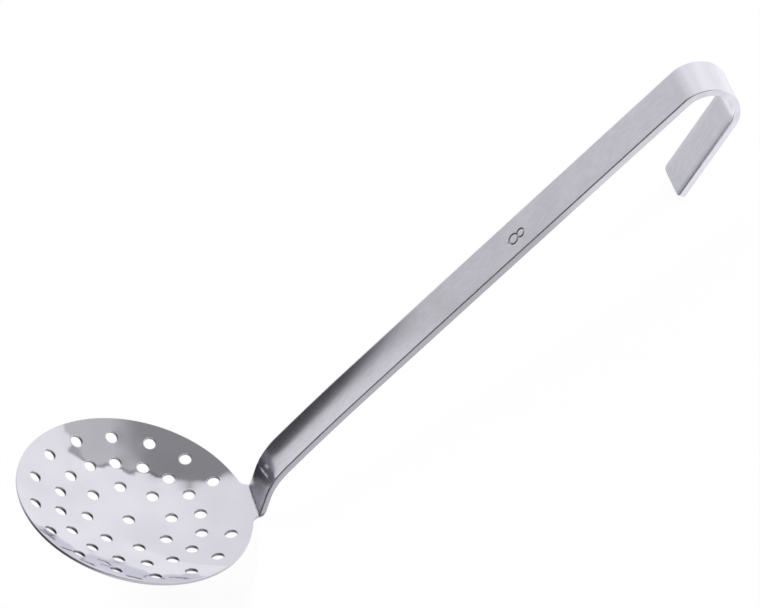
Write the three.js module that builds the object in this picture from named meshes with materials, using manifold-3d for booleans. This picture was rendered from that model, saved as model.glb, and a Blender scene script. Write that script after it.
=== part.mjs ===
// Skimmer: a shallow perforated bowl on a long flat-bar handle that ends in a hanging hook.
// Sizes are in millimetres and degrees. The pieces are drawn with the bowl level, its axis on Z
// and the neck towards +X. The whole is then laid on its back, as it rests on a worktop.

import * as THREE from 'three';
import Module from 'manifold-3d';
import { mergeVertices } from 'three/addons/utils/BufferGeometryUtils.js';

// Bowl: a spherical dish pressed from sheet, pierced in rings while it is still flat
const BOWL_DIAMETER = 80;
const BOWL_DEPTH = 9.4;
const SHEET = 1.2;
const HOLE_DIAMETER = 4.1;
const HOLES_PER_RING = [16, 16, 8];
const RIM_MARGIN = 6.9;
const RING_PITCH = 9.9;

// Root: the short tab where the rim flares out to meet the foot of the handle
const ROOT_REACH = 1.3;
const ROOT_FILLET = 3.5;

// Handle: one flat bar, upright at the neck, leaning out along the grip, turned back at the hook
const BAR_WIDTH = 15.2;
const BAR_THICKNESS = 2.5;
const FOOT_THICKNESS = 2;
const EDGE_ROUND = 0.4;
const NECK_RISE = 8.2;
const NECK_RADIUS = 30;
const HANDLE_ANGLE = 60;
const BOW_RADIUS = 900;
const BOW_TURN = 2.4;
const GRIP_LENGTH = 145.2;
const HOOK_INNER_RADIUS = 8.8;
const HOOK_TURN = 164.7;
const HOOK_LEG = 31;
const TIP_CORNER = 1.6;

// Stiffening dish pressed into the front of the bar, from the neck bend to halfway up the grip
const DISH_DEPTH = 0.8;
const DISH_RUN_IN = 4;
const DISH_FADE = 92;

// Corner weld between the tab and the bevelled foot, with the clearance kept round it
const FOOT_BEVEL = 45;
const FIT_GAP = 0.2;

// Facets
const ROUND_STEPS = 64;
const BOWL_STEPS = 8;
const HOLE_STEPS = 14;
const FILLET_STEPS = 6;
const SECTION_STEPS = 8;
const CORNER_STEPS = 3;
const WELD_STEPS = 8;

const wasm = await Module();
wasm.setup();

const rad = THREE.MathUtils.degToRad;
const bowlRadius = BOWL_DIAMETER / 2;
const innerSphere = (bowlRadius ** 2 + BOWL_DEPTH ** 2) / (2 * BOWL_DEPTH);
const outerSphere = innerSphere + SHEET;
const middleSphere = innerSphere + SHEET / 2;
const sphereHeight = innerSphere - BOWL_DEPTH;
const neckFront = bowlRadius + ROOT_REACH;
const tabEnd = neckFront - FIT_GAP;

// Height of one of the bowl's two spheres at a distance from the bowl's axis
function sphereAt(sphere, distance) {
  return sphereHeight - Math.sqrt(sphere ** 2 - distance ** 2);
}

const footHeight = sphereAt(innerSphere, neckFront) - SHEET / 3;

// Keeps only position and index, joins equal corners and drops triangles that have no area
function weldCorners(geometry) {
  geometry.deleteAttribute('normal');
  geometry.deleteAttribute('uv');
  const joined = mergeVertices(geometry, 1e-4);
  const kept = [];
  for (let i = 0; i < joined.index.count; i += 3) {
    const corners = [0, 1, 2].map((k) => joined.index.getX(i + k));
    if (new Set(corners).size === 3) kept.push(...corners);
  }
  joined.setIndex(kept);
  return joined;
}

// Turns every triangle over where a closed surface encloses a negative volume
function faceOut(geometry) {
  const at = (i) => new THREE.Vector3().fromBufferAttribute(geometry.attributes.position, geometry.index.getX(i));
  let volume = 0;
  for (let i = 0; i < geometry.index.count; i += 3) {
    volume += at(i).dot(at(i + 1).cross(at(i + 2)));
  }
  if (volume < 0) geometry.index.array.reverse();
  return geometry;
}

function toSolid(geometry) {
  const closed = faceOut(weldCorners(geometry));
  return new wasm.Manifold(new wasm.Mesh({
    numProp: 3,
    vertProperties: Float32Array.from(closed.attributes.position.array),
    triVerts: Uint32Array.from(closed.index.array),
  }));
}

function toGeometry(solid) {
  const mesh = solid.getMesh();
  const geometry = new THREE.BufferGeometry();
  geometry.setAttribute('position', new THREE.Float32BufferAttribute(mesh.vertProperties, 3));
  geometry.setIndex([...mesh.triVerts]);
  return geometry;
}

function arcPoints(centreX, centreY, radius, start, end, steps) {
  const points = [];
  for (let i = 0; i <= steps; i += 1) {
    const angle = start + (end - start) * (i / steps);
    points.push(new THREE.Vector2(centreX + radius * Math.cos(angle), centreY + radius * Math.sin(angle)));
  }
  return points;
}

// Shell between two spheres with one centre, revolved past the rim and ready to be trimmed
function dishBlank() {
  const blankRadius = Math.hypot(tabEnd, BAR_WIDTH / 2 + ROOT_FILLET);
  const opening = Math.asin(blankRadius / innerSphere);
  const profile = [];
  for (let i = 0; i <= BOWL_STEPS; i += 1) {
    const angle = opening * (i / BOWL_STEPS);
    profile.push(new THREE.Vector2(outerSphere * Math.sin(angle), sphereHeight - outerSphere * Math.cos(angle)));
  }
  for (let i = BOWL_STEPS; i >= 0; i -= 1) {
    const angle = opening * (i / BOWL_STEPS);
    profile.push(new THREE.Vector2(innerSphere * Math.sin(angle), sphereHeight - innerSphere * Math.cos(angle)));
  }
  return new THREE.LatheGeometry(profile, ROUND_STEPS).rotateX(Math.PI / 2);
}

// Trim line of the pressing: the rim circle running through two fillets into the root tab
function trimPrism() {
  const filletY = BAR_WIDTH / 2 + ROOT_FILLET;
  const filletX = Math.sqrt((bowlRadius + ROOT_FILLET) ** 2 - filletY ** 2);
  const side = Math.atan2(filletY, filletX);
  const stop = Math.acos(THREE.MathUtils.clamp((tabEnd - filletX) / ROOT_FILLET, -1, 0));
  const rim = arcPoints(0, 0, bowlRadius, side, 2 * Math.PI - side, ROUND_STEPS);
  const lower = arcPoints(filletX, -filletY, ROOT_FILLET, Math.PI - side, stop, FILLET_STEPS);
  const upper = arcPoints(filletX, filletY, ROOT_FILLET, -stop, side - Math.PI, FILLET_STEPS);
  const halfEnd = Math.abs(upper[0].y);
  const tab = [new THREE.Vector2(tabEnd, -halfEnd), new THREE.Vector2(tabEnd, halfEnd)];
  const outline = [...rim, ...lower.slice(1), ...tab, ...upper.slice(0, -1)];
  const height = 4 * (BOWL_DEPTH + SHEET);
  const prism = new THREE.ExtrudeGeometry(new THREE.Shape(outline), { depth: height, bevelEnabled: false });
  return prism.translate(0, 0, -height / 2);
}

// One punch, square to the sheet, at a distance along the sheet from the bowl's lowest point
function punch(alongSheet, azimuth) {
  const tilt = alongSheet / middleSphere;
  const outward = new THREE.Vector3(
    Math.sin(tilt) * Math.cos(azimuth),
    Math.sin(tilt) * Math.sin(azimuth),
    -Math.cos(tilt),
  );
  const tool = new THREE.CylinderGeometry(HOLE_DIAMETER / 2, HOLE_DIAMETER / 2, 4 * SHEET, HOLE_STEPS);
  tool.applyQuaternion(new THREE.Quaternion().setFromUnitVectors(new THREE.Vector3(0, 1, 0), outward));
  const place = outward.multiplyScalar(middleSphere);
  return tool.translate(place.x, place.y, place.z + sphereHeight);
}

// Rings of holes counted in from the rim, with the outer one left out where the handle joins on
function punches() {
  const outerRing = middleSphere * Math.asin(bowlRadius / middleSphere) - RIM_MARGIN;
  const tools = [punch(0, 0)];
  HOLES_PER_RING.forEach((count, ring) => {
    const alongSheet = outerRing - ring * RING_PITCH;
    const first = ring === 0 ? 1 : 0;
    for (let i = first; i < count; i += 1) {
      tools.push(punch(alongSheet, (2 * Math.PI * i) / count));
    }
  });
  return tools;
}

function bowlGeometry() {
  const trimmed = toSolid(dishBlank()).intersect(toSolid(trimPrism()));
  const tools = punches().map(toSolid).reduce((all, tool) => all.add(tool));
  return toGeometry(trimmed.subtract(tools));
}

// Side profile of the handle's front face: stretches with a length, a turn and a number of steps
const neckTurn = rad(90 - HANDLE_ANGLE - BOW_TURN);
const bowTurn = rad(BOW_TURN);
const hookTurn = rad(HOOK_TURN);
const hookRadius = HOOK_INNER_RADIUS + BAR_THICKNESS;
const neckLength = NECK_RISE - footHeight;
const bendLength = NECK_RADIUS * neckTurn;
const stretches = [
  { length: neckLength, turn: 0, steps: 2 },
  { length: bendLength, turn: neckTurn, steps: 10 },
  { length: BOW_RADIUS * bowTurn, turn: bowTurn, steps: 8 },
  { length: GRIP_LENGTH, turn: 0, steps: 16 },
  { length: hookRadius * hookTurn, turn: hookTurn, steps: 22 },
  { length: HOOK_LEG - TIP_CORNER, turn: 0, steps: 3 },
  { length: TIP_CORNER, turn: 0, steps: 4 },
];
const barLength = stretches.reduce((sum, stretch) => sum + stretch.length, 0);

// Stations along the profile, each with its place, its heading and its distance from the foot
function walkProfile() {
  let x = neckFront;
  let z = footHeight;
  let heading = Math.PI / 2;
  let along = 0;
  const stations = [{ x, z, heading, along }];
  for (const { length, turn, steps } of stretches) {
    const step = length / steps;
    const bend = turn / steps;
    const chord = bend === 0 ? step : (2 * Math.sin(bend / 2) * step) / bend;
    for (let i = 0; i < steps; i += 1) {
      x += chord * Math.cos(heading - bend / 2);
      z += chord * Math.sin(heading - bend / 2);
      heading -= bend;
      along += step;
      stations.push({ x, z, heading, along });
    }
  }
  return stations;
}

function thicknessAt(along) {
  const grown = THREE.MathUtils.smoothstep(along, neckLength, neckLength + bendLength);
  return THREE.MathUtils.lerp(FOOT_THICKNESS, BAR_THICKNESS, grown);
}

function dishAt(along) {
  const start = neckLength + bendLength / 2;
  const full = start + DISH_RUN_IN;
  const rise = THREE.MathUtils.smoothstep(along, start, full);
  const fall = THREE.MathUtils.smoothstep(along, full, full + DISH_FADE);
  return DISH_DEPTH * rise * (1 - fall);
}

// Half the bar's width, drawn in round the two corners of the hook's tip
function halfWidthAt(along) {
  const inCorner = Math.max(0, TIP_CORNER - (barLength - along));
  return BAR_WIDTH / 2 - TIP_CORNER + Math.sqrt(Math.max(0, TIP_CORNER ** 2 - inCorner ** 2));
}

// Closed section of the bar as [across, depth] pairs: rounded edges, both faces dished alike
function barSection(halfWidth, thickness, dish) {
  const flat = halfWidth - EDGE_ROUND;
  const pairs = [];
  const corner = (centre, depth, start) => {
    for (const point of arcPoints(centre, depth, EDGE_ROUND, start, start + Math.PI / 2, CORNER_STEPS)) {
      pairs.push([point.x, point.y]);
    }
  };
  const face = (depth, direction) => {
    for (let i = 1; i < SECTION_STEPS; i += 1) {
      pairs.push([direction * flat * ((2 * i) / SECTION_STEPS - 1), depth]);
    }
  };
  corner(-flat, EDGE_ROUND, Math.PI);
  face(0, 1);
  corner(flat, EDGE_ROUND, -Math.PI / 2);
  corner(flat, thickness - EDGE_ROUND, 0);
  face(thickness, -1);
  corner(-flat, thickness - EDGE_ROUND, Math.PI / 2);
  return pairs.map(([across, depth]) => [across, depth + dish * (1 - (across / halfWidth) ** 2)]);
}

// Skin over equal rings of points, closed at both ends by strips between the two faces
function loft(rings) {
  const count = rings[0].length;
  const index = [];
  const quad = (a, b, c, d) => index.push(a, b, c, a, c, d);
  for (let ring = 0; ring + 1 < rings.length; ring += 1) {
    for (let i = 0; i < count; i += 1) {
      const next = (i + 1) % count;
      quad(ring * count + i, ring * count + next, (ring + 1) * count + next, (ring + 1) * count + i);
    }
  }
  const last = (rings.length - 1) * count;
  for (let i = 0; i + 1 < count / 2; i += 1) {
    const across = count - 1 - i;
    quad(i, across, across - 1, i + 1);
    quad(last + i, last + i + 1, last + across - 1, last + across);
  }
  const geometry = new THREE.BufferGeometry();
  geometry.setAttribute('position', new THREE.Float32BufferAttribute(rings.flat(2), 3));
  geometry.setIndex(index);
  return faceOut(geometry);
}

// The bar swept along the profile, its foot cut off at the weld bevel
function handleGeometry() {
  const bevel = Math.tan(rad(FOOT_BEVEL));
  const rings = walkProfile().map(({ x, z, heading, along }) => {
    const section = barSection(halfWidthAt(along), thicknessAt(along), dishAt(along));
    const lift = along === 0 ? bevel : 0;
    return section.map(([across, depth]) => [
      x + depth * Math.sin(heading),
      across,
      z - depth * Math.cos(heading) + depth * lift,
    ]);
  });
  return loft(rings);
}

// Weld metal filling the corner under the bevel, ground to one round from the bowl to the neck
function weldGeometry() {
  const back = neckFront + FOOT_THICKNESS;
  const clear = FIT_GAP / Math.cos(rad(FOOT_BEVEL));
  const root = new THREE.Vector2(neckFront, footHeight - clear);
  const top = new THREE.Vector2(back, root.y + FOOT_THICKNESS * Math.tan(rad(FOOT_BEVEL)));
  const low = new THREE.Vector2(neckFront, sphereAt(outerSphere, neckFront));
  const slope = neckFront / Math.sqrt(outerSphere ** 2 - neckFront ** 2);
  const corner = new THREE.Vector2(back, low.y + slope * FOOT_THICKNESS);
  const round = new THREE.QuadraticBezierCurve(low, corner, top).getPoints(WELD_STEPS);
  const section = new THREE.Shape([root, ...round]);
  const bead = new THREE.ExtrudeGeometry(section, { depth: BAR_WIDTH, bevelEnabled: false });
  bead.translate(0, 0, -BAR_WIDTH / 2).rotateX(Math.PI / 2);
  return faceOut(weldCorners(bead));
}

const polished = { color: 0xd8d7de, roughness: 0.12, metalness: 1 };
const satin = { color: 0xc4c3cb, roughness: 0.34, metalness: 1 };
const ground = { color: 0xcfced6, roughness: 0.2, metalness: 1 };

function piece(name, geometry, finish) {
  const mesh = new THREE.Mesh(geometry, new THREE.MeshStandardMaterial(finish));
  mesh.name = name;
  return mesh;
}

const level = new THREE.Group();
level.name = 'level';
level.add(
  piece('bowl', bowlGeometry(), polished),
  piece('handle', handleGeometry(), satin),
  piece('weld_seam', weldGeometry(), ground),
);

// Lean at which the neck and the tip of the hook both touch the worktop
function restingLean(pieces) {
  const points = pieces.flatMap(({ geometry }) => {
    const position = geometry.attributes.position;
    return Array.from({ length: position.count }, (_, i) => [position.getX(i), position.getZ(i)]);
  });
  const middle = neckFront + 0.3 * GRIP_LENGTH;
  const reach = (lean, list) => {
    const heights = list.map(([x, z]) => x * Math.sin(lean) - z * Math.cos(lean));
    return heights.reduce((most, height) => Math.max(most, height), -Infinity);
  };
  const front = points.filter(([x]) => x < middle);
  const rear = points.filter(([x]) => x >= middle);
  let low = 0;
  let high = Math.PI / 2;
  for (let i = 0; i < 40; i += 1) {
    const lean = (low + high) / 2;
    if (reach(lean, front) > reach(lean, rear)) low = lean;
    else high = lean;
  }
  return (low + high) / 2;
}

level.rotation.y = restingLean(level.children);

const skimmer = new THREE.Group();
skimmer.name = 'skimmer';
skimmer.add(level);
skimmer.updateMatrixWorld(true);

// Origin in the middle of the footprint, on the worktop
const box = new THREE.Box3().setFromObject(skimmer, true);
level.position.set(-(box.min.x + box.max.x) / 2, -(box.min.y + box.max.y) / 2, -box.min.z);
skimmer.updateMatrixWorld(true);

export default skimmer;
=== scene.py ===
"""Looks of the skimmer: a buffed perforated bowl, a satin bar handle and the ground weld between them.

Every piece is drawn with the bowl level, its axis on Z and the neck towards +X, as the solids are.
It is then laid on its back on the worktop. Sizes are in metres.
"""

import math

import bpy
import numpy as np
from bpy.props import FloatProperty, FloatVectorProperty, IntProperty, PointerProperty
from bpy.types import Operator, Panel, PropertyGroup
from mathutils import Euler, Matrix, Vector
from mathutils.geometry import delaunay_2d_cdt


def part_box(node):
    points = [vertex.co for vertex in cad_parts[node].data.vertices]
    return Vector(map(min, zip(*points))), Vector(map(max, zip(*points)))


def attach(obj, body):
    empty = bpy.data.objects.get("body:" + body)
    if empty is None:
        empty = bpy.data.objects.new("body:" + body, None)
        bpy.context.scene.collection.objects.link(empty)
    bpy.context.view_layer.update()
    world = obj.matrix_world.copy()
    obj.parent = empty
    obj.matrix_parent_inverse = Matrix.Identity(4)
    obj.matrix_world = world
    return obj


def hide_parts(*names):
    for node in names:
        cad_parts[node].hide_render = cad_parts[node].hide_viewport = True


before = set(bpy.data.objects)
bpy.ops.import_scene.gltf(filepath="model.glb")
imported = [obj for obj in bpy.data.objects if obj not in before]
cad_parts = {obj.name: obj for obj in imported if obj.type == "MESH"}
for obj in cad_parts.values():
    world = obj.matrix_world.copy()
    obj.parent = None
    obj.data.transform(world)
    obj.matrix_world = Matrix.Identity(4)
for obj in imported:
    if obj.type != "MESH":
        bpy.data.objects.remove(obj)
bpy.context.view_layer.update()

bl_info = {
    "name": "Skimmer",
    "version": (1, 0, 0),
    "blender": (4, 5, 0),
    "location": "3D View > Sidebar > Skimmer",
    "description": "Builds a perforated skimmer over its solids, with its studio",
    "category": "Object",
}

HANDLE_LOW, HANDLE_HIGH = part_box("handle")
BODY = "root"
MM = 0.001
TINY = 1e-9


def linear(code):
    """Linear colour of an sRGB hex value."""
    channels = [int(code[i:i + 2], 16) / 255 for i in (0, 2, 4)]
    return tuple(c / 12.92 if c <= 0.04045 else ((c + 0.055) / 1.055) ** 2.4 for c in channels)


def length(name, millimetres, description):
    """A length property with its default in millimetres."""
    return FloatProperty(
        name=name, description=description, default=millimetres * MM, min=0, unit="LENGTH", precision=5
    )


def angle(name, degrees, description):
    """An angle property with its default in degrees."""
    return FloatProperty(
        name=name, description=description, default=math.radians(degrees), unit="ROTATION"
    )


def colour(name, code, description):
    """A colour property with its default as an sRGB hex value."""
    return FloatVectorProperty(
        name=name, description=description, default=linear(code), subtype="COLOR", size=3, min=0, max=1
    )


class SKIMMER_PG_rest(PropertyGroup):
    """How the level skimmer is laid on its back."""

    lean: angle("Lean", 53.3616885, "Turn about Y from the level bowl to the skimmer at rest")
    place: FloatVectorProperty(
        name="Place",
        description="Where the middle of the level bowl's rim circle comes to rest",
        default=(-106.842192 * MM, 0, 34.053043 * MM),
        subtype="TRANSLATION",
        unit="LENGTH",
    )


class SKIMMER_PG_bowl(PropertyGroup):
    """Sizes of the pressed bowl."""

    diameter: length("Diameter", 80, "Across the rim")
    depth: length("Depth", 9.4, "From the rim down to the middle of the inner face")
    sheet: length("Sheet", 1.2, "Thickness of the sheet")
    hole_diameter: length("Hole diameter", 4.1, "Bore of one drain hole")
    rim_margin: length("Rim margin", 6.9, "From the rim to the outer ring of holes, along the sheet")
    ring_pitch: length("Ring pitch", 9.9, "From ring to ring of holes, along the sheet")
    outer_holes: IntProperty(
        name="Outer holes", description="Places in each of the two outer rings", default=16, min=4
    )
    inner_holes: IntProperty(
        name="Inner holes", description="Places in the inner ring", default=8, min=3
    )
    root_reach: length("Root reach", 1.1, "From the rim circle to the end of the root tab")
    root_fillet: length("Root fillet", 3.5, "Radius of the flare from the rim into the root tab")
    edge_round: length("Edge round", 0.38, "Rounding that buffing leaves on the rim and the holes")
    die_roll: length("Die roll", 0.045, "How far the punch has drawn the sheet down at a hole")
    die_roll_width: length("Die roll width", 1.5, "How far from a hole that drawn-down zone reaches")


class SKIMMER_PG_handle(PropertyGroup):
    """Sizes of the flat-bar handle."""

    width: length("Width", (HANDLE_HIGH.y - HANDLE_LOW.y) / MM, "Across the bar")
    thickness: length("Thickness", 2.5, "Of the bar along the grip")
    foot_thickness: length("Foot thickness", 2, "Of the bar where it meets the bowl")
    edge_round: length("Edge round", 0.33, "Rounding along the bar's four edges")
    neck_edge_round: length("Neck edge round", 0.6, "Rounding that buffing leaves on the neck")
    hook_edge_round: length("Hook edge round", 0.2, "Rounding along the edges inside the hook")
    hook_curl: length("Hook curl", 0.16, "How far the inside of the hook falls away towards its edges")
    front: length("Front", 41.3, "From the bowl's axis to the front of the upright neck")
    neck_rise: length("Neck rise", 8.2, "Height above the rim where the neck starts to bend")
    neck_radius: length("Neck radius", 30, "Of the bend from the neck to the grip")
    lean_angle: angle("Grip angle", 60, "Of the grip above the rim plane")
    bow_radius: length("Bow radius", 900, "Of the slight bow above the neck bend")
    bow_turn: angle("Bow turn", 2.4, "Turn of that bow")
    grip_length: length("Grip length", 145.2, "Of the straight grip")
    hook_radius: length("Hook radius", 8.8, "Inside the turned-back hook")
    hook_turn: angle("Hook turn", 164.7, "Turn of the hook")
    hook_leg: length("Hook leg", 31, "Of the straight leg after the hook")
    tip_corner: length("Tip corner", 1.6, "Radius of the two corners at the tip")
    dish_depth: length("Dish depth", 0.95, "Of the trough pressed along the lower grip")
    dish_run_in: length("Dish run-in", 9, "Over which the trough reaches its depth")
    dish_fade: length("Dish fade", 92, "Over which the trough runs out again")
    numeral_place: length("Numeral place", 133.5, "From the foot to the waist of the stamped numeral")
    numeral_offset: length("Numeral offset", 0.8, "From the bar's middle line towards the near edge")
    numeral_height: length("Numeral height", 6.3, "Of the stamped numeral")
    numeral_width: length("Numeral width", 3.9, "Of the stamped numeral")
    stroke: length("Stroke", 0.45, "Half the width of the numeral's stroke")
    stamp_depth: length("Stamp depth", 0.09, "Of the numeral below the face")


class SKIMMER_PG_weld(PropertyGroup):
    """Sizes of the ground corner weld."""

    crease_fillet: length("Crease fillet", 0.35, "Reach of the fillet in front of the neck")
    back_rise: length("Back rise", 0.2, "Height of the ground back above the foot's bevel")
    back_reach: length("Back reach", 0.8, "Reach of the ground back under the root tab")
    penetration: length("Penetration", 0.3, "How far the weld is fused into the two pieces")
    end_reach: length("End reach", 0.45, "How far the weld's ends bulge past the bar's sides")
    end_run: length("End run", 2, "Over which the weld's ends draw in")
    skin: length("Skin", 0.006, "How far the weld stands proud of the faces that it runs out on")


class SKIMMER_PG_steel(PropertyGroup):
    """Colours of the steel's finishes."""

    buffed: colour("Buffed", "E2E1EA", "Buffed sheet of the bowl")
    satin: colour("Satin", "F0EFF9", "Satin bar of the handle")
    ground: colour("Ground", "C8C7CF", "Ground weld metal")
    # On the trimmed rim this dark tone is painted shade, a dark line round the rim's edge
    sheared: colour("Sheared", "88878D", "Sheared walls of the punched holes and the trimmed rim")


class SKIMMER_PG_studio(PropertyGroup):
    """The plain studio round the skimmer."""

    floor: colour("Floor", "F7F7F8", "Pale worktop")
    camera_place: FloatVectorProperty(
        name="Camera place",
        description="Where the photograph was taken from",
        default=(0.369799, -1.039637, 0.976157),
        subtype="TRANSLATION",
        unit="LENGTH",
    )
    camera_turn: FloatVectorProperty(
        name="Camera turn",
        description="How the camera was held",
        default=[math.radians(a) for a in (36.8641, 35.8898, -18.4272)],
        subtype="EULER",
        unit="ROTATION",
    )
    focal_pixels: FloatProperty(
        name="Focal length", description="In pixels of the photograph", default=4500, min=1
    )


def add(tree, kind, inputs=None, **settings):
    """Adds a node, applies its settings, and fills or links its input sockets."""
    node = tree.nodes.new(kind)
    for name, value in settings.items():
        setattr(node, name, value)
    for socket, value in (inputs or {}).items():
        if isinstance(value, bpy.types.NodeSocket):
            tree.links.new(value, node.inputs[socket])
        else:
            node.inputs[socket].default_value = value
    return node


def new_material(name):
    """An empty node material and its tree."""
    material = bpy.data.materials.new(name)
    material.use_nodes = True
    material.node_tree.nodes.clear()
    return material, material.node_tree


# Real sizes of the patterns in the finishes. Mop marks are some 0.02 mm apart and belt grain is about
# 0.05 mm wide: both are drawn coarser, at 0.5 mm and 1.4 mm, so that they show at all.
PRESS_RIPPLE = (14 * MM,) * 3
MOP_HAZE = (5 * MM,) * 3
MOP_MARKS = (6 * MM, 0.5 * MM, 6 * MM)
BELT_GRAIN = (3 * MM, 1.4 * MM, 1)
BELT_CLOUD = (12 * MM,) * 3
PRESS_LINES = (4 * MM, 50 * MM, 1)
NECK_DENTS = (2.5 * MM,) * 3
WELD_WAVES = (1.2 * MM,) * 3
LAMINATE_MOTTLE = (30 * MM,) * 3

# Zones of the handle's finish, each a value from 0 to 1 at every point of its mesh. The side zone is the
# sheared metal's duller tone with painted shade over it, and the stamp zone darkens the numeral with painted
# shade
HANDLE_ZONES = ("stamp", "satin", "side", "ground", "bent")
GROUND_TONE = 1.05
# Tone of the sheared sides: partly their own duller metal, partly painted shade
SIDE_DULL_AND_SHADE_TONE = 0.4
# Tone of the stamped numeral: painted shade in its grooves
STAMP_SHADE_TONE = 0.5
BUFFED_ROUGHNESS = 0.1
GROUND_ROUGHNESS = 0.44
SHEARED_ROUGHNESS = 0.42


def pattern(tree, place, sizes, detail):
    """Value of a cloudy pattern with its own real size along each axis."""
    scaled = add(tree, "ShaderNodeMapping", {"Vector": place, "Scale": [1 / size for size in sizes]})
    cloud = add(tree, "ShaderNodeTexNoise", {"Vector": scaled.outputs[0], "Scale": 1, "Detail": detail})
    return cloud.outputs["Fac"]


def bare_metal(tree, tone, roughness, normal):
    """Ends a material as bare metal of a tone, a roughness and a relief."""
    shader = add(
        tree,
        "ShaderNodeBsdfPrincipled",
        {"Base Color": tone, "Metallic": 1, "Roughness": roughness, "Normal": normal},
    )
    add(tree, "ShaderNodeOutputMaterial", {"Surface": shader.outputs[0]})


def buffed_sheet(steel):
    """Stainless sheet, pressed and buffed on a mop: a mirror with a slow ripple, faint haze and
    hairline mop marks. The sheared hole walls are left dull and dark. The rim's trimmed edge is
    darkened with half that tone as painted shade, a dark line round the rim."""
    material, tree = new_material("stainless_sheet_buffed")
    place = add(tree, "ShaderNodeTexCoord").outputs["Object"]
    sheared = add(tree, "ShaderNodeAttribute", attribute_name="sheared").outputs["Fac"]
    ripple = pattern(tree, place, PRESS_RIPPLE, 1)
    haze = pattern(tree, place, MOP_HAZE, 4)
    marks = pattern(tree, place, MOP_MARKS, 2)
    hazy, smudged = (
        add(
            tree,
            "ShaderNodeMapRange",
            {"Value": value, "From Min": 0.3, "From Max": end, "To Min": low, "To Max": high},
        ).outputs[0]
        for value, end, low, high in ((haze, 0.75, 0.035, 0.085), (ripple, 0.7, 0.93, 1))
    )
    rough = add(
        tree, "ShaderNodeMapRange", {"Value": sheared, "To Min": hazy, "To Max": SHEARED_ROUGHNESS}
    )
    clean = add(tree, "ShaderNodeVectorMath", {0: steel.buffed, "Scale": smudged}, operation="SCALE")
    tone = add(
        tree,
        "ShaderNodeMix",
        {"Factor": sheared, 6: clean.outputs[0], 7: (*steel.sheared, 1)},
        data_type="RGBA",
    )
    slow = add(tree, "ShaderNodeBump", {"Height": ripple, "Distance": 0.02 * MM})
    fine = add(
        tree,
        "ShaderNodeBump",
        {"Height": marks, "Distance": 0.0015 * MM, "Normal": slow.outputs[0]},
    )
    bare_metal(tree, tone.outputs[2], rough.outputs[0], fine.outputs[0])
    return material


def satin_bar(steel):
    """Stainless bar, belted lengthwise to a satin: soft reflections with a faint mottling. The bend of
    the neck is buffed and a little uneven, its foot is dull from grinding the weld, and the press has
    left faint lines across the hook. The sheared sides are darker, from their own duller metal and
    from painted shade that is strongest near the bowl and runs as a dark line along the neck's edges.
    The stamped numeral is darkened with painted shade in its grooves."""
    material, tree = new_material("stainless_bar_satin")
    place = add(tree, "ShaderNodeUVMap", uv_map="bar").outputs[0]
    stamp, satin, side, ground, bent = (
        add(tree, "ShaderNodeAttribute", attribute_name=zone).outputs["Fac"] for zone in HANDLE_ZONES
    )
    grain = pattern(tree, place, BELT_GRAIN, 3)
    cloud = pattern(tree, place, BELT_CLOUD, 2)
    lines = pattern(tree, place, PRESS_LINES, 1)
    dents = pattern(tree, place, NECK_DENTS, 1)
    satin_roughness, tone, pressed = (
        add(
            tree,
            "ShaderNodeMapRange",
            {"Value": value, "From Min": start, "From Max": end, "To Min": low, "To Max": high},
        ).outputs[0]
        for value, start, end, low, high in (
            (cloud, 0.3, 0.7, 0.2, 0.25),
            (grain, 0.3, 0.7, 0.94, 1.02),
            (lines, 0.35, 0.65, 0.9, 1),
        )
    )
    # The side and stamp tones lay painted shade over the bar: dark sides near the bowl and along the neck's
    # edges, dark numeral grooves
    for zone, level in ((bent, pressed), (ground, GROUND_TONE), (side, SIDE_DULL_AND_SHADE_TONE), (stamp, STAMP_SHADE_TONE)):
        tone = add(tree, "ShaderNodeMapRange", {"Value": zone, "To Min": tone, "To Max": level}).outputs[0]
    shade = add(tree, "ShaderNodeVectorMath", {0: steel.satin, "Scale": tone}, operation="SCALE")
    rough = BUFFED_ROUGHNESS
    for zone, level in ((satin, satin_roughness), (ground, GROUND_ROUGHNESS)):
        rough = add(tree, "ShaderNodeMapRange", {"Value": zone, "To Min": rough, "To Max": level}).outputs[0]
    even = add(tree, "ShaderNodeMath", {0: satin, 1: ground}, operation="MAXIMUM").outputs[0]
    dented = add(tree, "ShaderNodeMapRange", {"Value": even, "To Min": dents, "To Max": 0.5}).outputs[0]
    uneven = add(tree, "ShaderNodeBump", {"Height": dented, "Distance": 0.03 * MM})
    belted = add(tree, "ShaderNodeMath", {0: grain, 1: satin}, operation="MULTIPLY").outputs[0]
    relief = add(
        tree,
        "ShaderNodeBump",
        {"Height": belted, "Distance": 0.0015 * MM, "Normal": uneven.outputs[0]},
    )
    bare_metal(tree, shade.outputs[0], rough, relief.outputs[0])
    return material


def ground_weld(steel):
    """Weld metal ground flush by hand: duller than the sheet, with a wavy, slightly pitted skin."""
    material, tree = new_material("stainless_weld_ground")
    place = add(tree, "ShaderNodeTexCoord").outputs["Object"]
    waves = pattern(tree, place, WELD_WAVES, 3)
    rough = add(
        tree,
        "ShaderNodeMapRange",
        {"Value": waves, "From Min": 0.3, "From Max": 0.7, "To Min": 0.22, "To Max": 0.34},
    )
    relief = add(tree, "ShaderNodeBump", {"Height": waves, "Distance": 0.004 * MM})
    bare_metal(tree, (*steel.ground, 1), rough.outputs[0], relief.outputs[0])
    return material


def unit(vectors):
    """Vectors of length one, along the last axis."""
    return vectors / np.linalg.norm(vectors, axis=-1, keepdims=True)


def smooth(value, start, end):
    """Smooth step from 0 at start to 1 at end."""
    share = np.clip((value - start) / (end - start), 0, 1)
    return share * share * (3 - 2 * share)


def bend(start, corner, end, steps):
    """Points of a smooth bend from start to end, along the lines to the corner at both. All three are
    single points or rows of points, and the steps run along the first axis."""
    share = np.linspace(0, 1, steps + 1).reshape(-1, *[1] * start.ndim)
    return (1 - share) ** 2 * start + 2 * share * (1 - share) * corner + share ** 2 * end


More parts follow.
